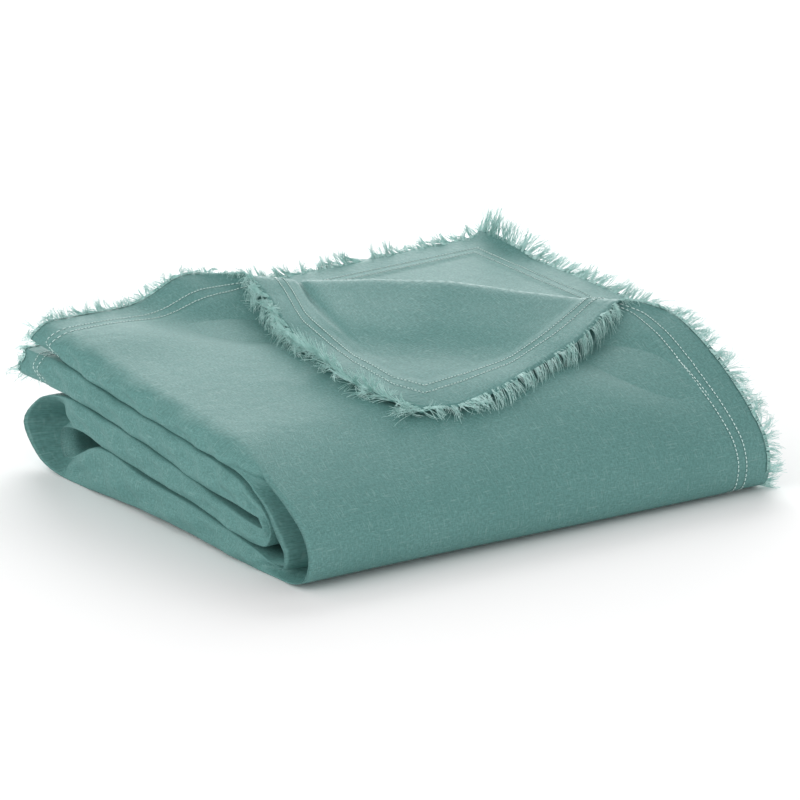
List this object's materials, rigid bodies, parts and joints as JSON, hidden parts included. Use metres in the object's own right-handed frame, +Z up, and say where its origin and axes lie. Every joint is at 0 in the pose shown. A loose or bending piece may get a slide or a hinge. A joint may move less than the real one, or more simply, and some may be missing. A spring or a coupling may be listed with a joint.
{
  "type": "folded linen throw",
  "caption": "Linen throw folded into a soft rectangular parcel, one corner of its top layer turned back, with a hemmed and frayed edge.",
  "frame": {"origin": "centre of the parcel's underside, on the surface it rests on", "axes": "+X along the front fold towards the frayed right edge, +Y from the front fold to the back, +Z up"},
  "size_m": [0.3883, 0.3599, 0.127],
  "materials": {
    "linen": "plain-woven linen in sage teal, matt, with fine slubs",
    "fringe": "loose frayed threads of the same linen, a little lighter"
  },
  "bodies": {
    "root": {"throw_cloth": "linen", "fringe_end_top": "fringe", "fringe_end_under": "fringe", "fringe_side_top": "fringe", "fringe_side_under": "fringe"}
  },
  "joints": []
}
